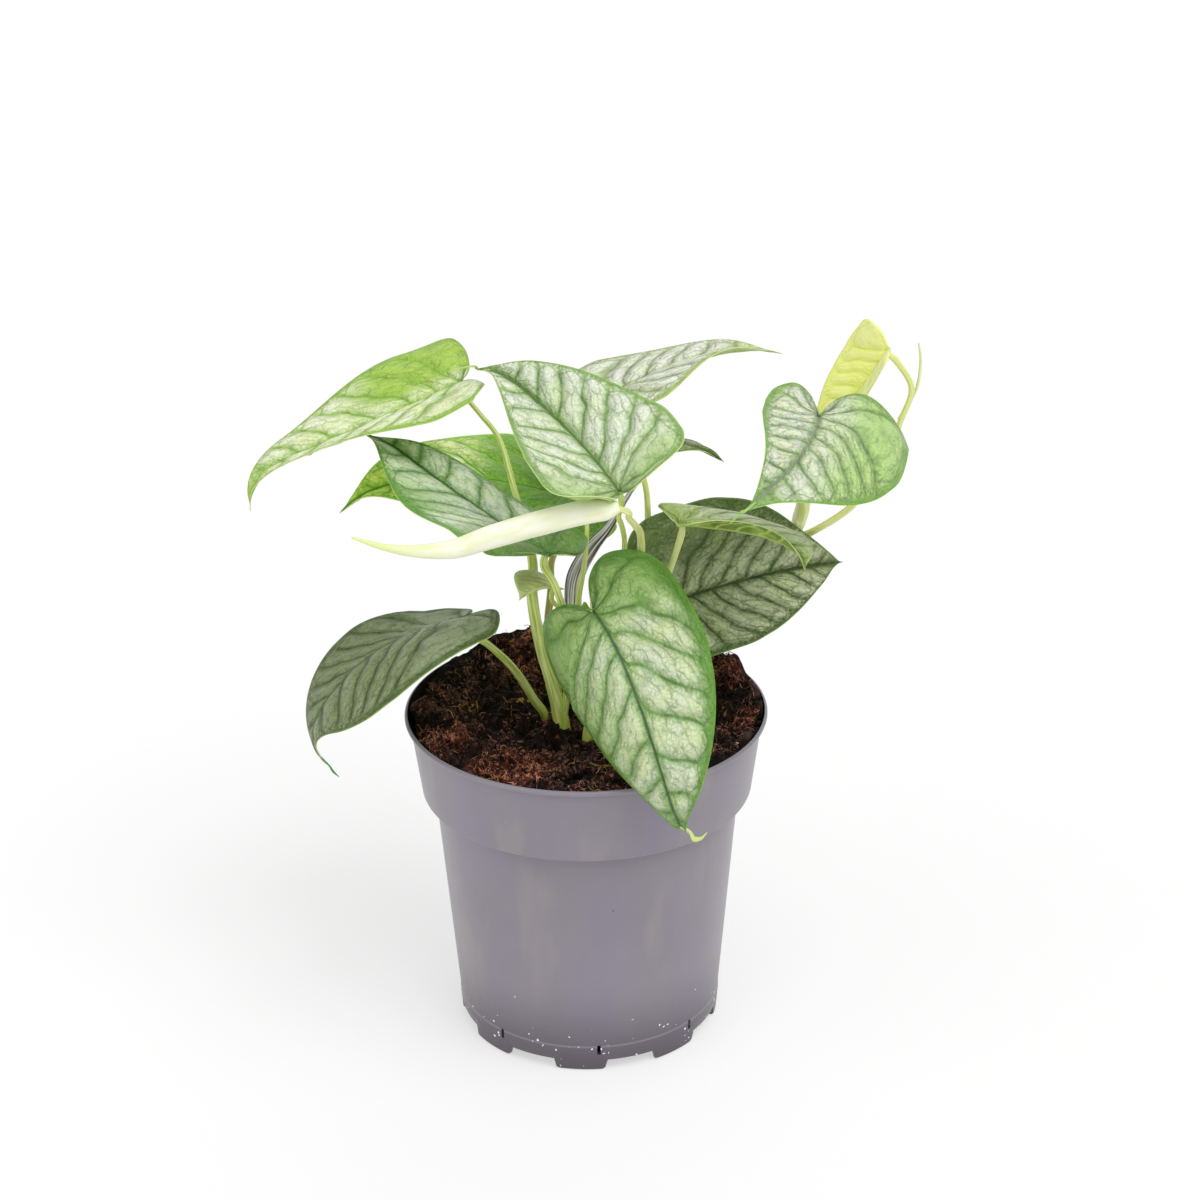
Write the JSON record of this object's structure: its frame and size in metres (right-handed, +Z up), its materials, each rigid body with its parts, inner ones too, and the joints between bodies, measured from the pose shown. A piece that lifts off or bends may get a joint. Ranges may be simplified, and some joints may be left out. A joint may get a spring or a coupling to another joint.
{
  "type": "potted monstera siltepecana",
  "caption": "Young climbing aroid with silver-veined heart-shaped leaves on long petioles, growing in soil in a round plastic nursery pot.",
  "frame": {"origin": "middle of the pot's underside, on the surface that it stands on", "axes": "+Z up the plant, +Y towards its back, so the front of the plant faces -Y, and +X to the right seen from the front"},
  "size_m": [0.2189, 0.1622, 0.2329],
  "materials": {
    "pot_plastic": "satin moulded plastic, dusty",
    "soil": "moist peat and coir, matt and crumbly",
    "stem_green": "smooth and waxy",
    "leaf_silver": "silvery satin between green veins",
    "leaf_bright": "satin, yellow-green",
    "leaf_dark": "silvery satin, shaded green",
    "leaf_young": "soft and glossy, yellow-green",
    "leaf_rolled": "soft and waxy, pale cream-yellow",
    "dry_bract": "dry and papery, striped"
  },
  "bodies": {
    "root": {"pot": "pot_plastic", "soil": "soil", "shoot_left": "stem_green", "shoot_middle": "stem_green", "shoot_back": "stem_green", "shoot_right": "stem_green", "petiole_low_left": "stem_green", "blade_top_left": "leaf_bright", "blade_top_centre": "leaf_silver", "blade_mid_left": "leaf_silver", "blade_behind_left": "leaf_bright", "blade_upper_right": "leaf_silver", "blade_behind_right": "leaf_dark", "blade_right_heart": "leaf_silver", "blade_unfurling": "leaf_young", "blade_dark_right": "leaf_dark", "blade_arching": "leaf_silver", "blade_front": "leaf_silver", "blade_low_left": "leaf_dark", "blade_small": "leaf_dark", "leaf_rolled": "leaf_rolled", "dried_bract": "dry_bract"}
  },
  "joints": []
}
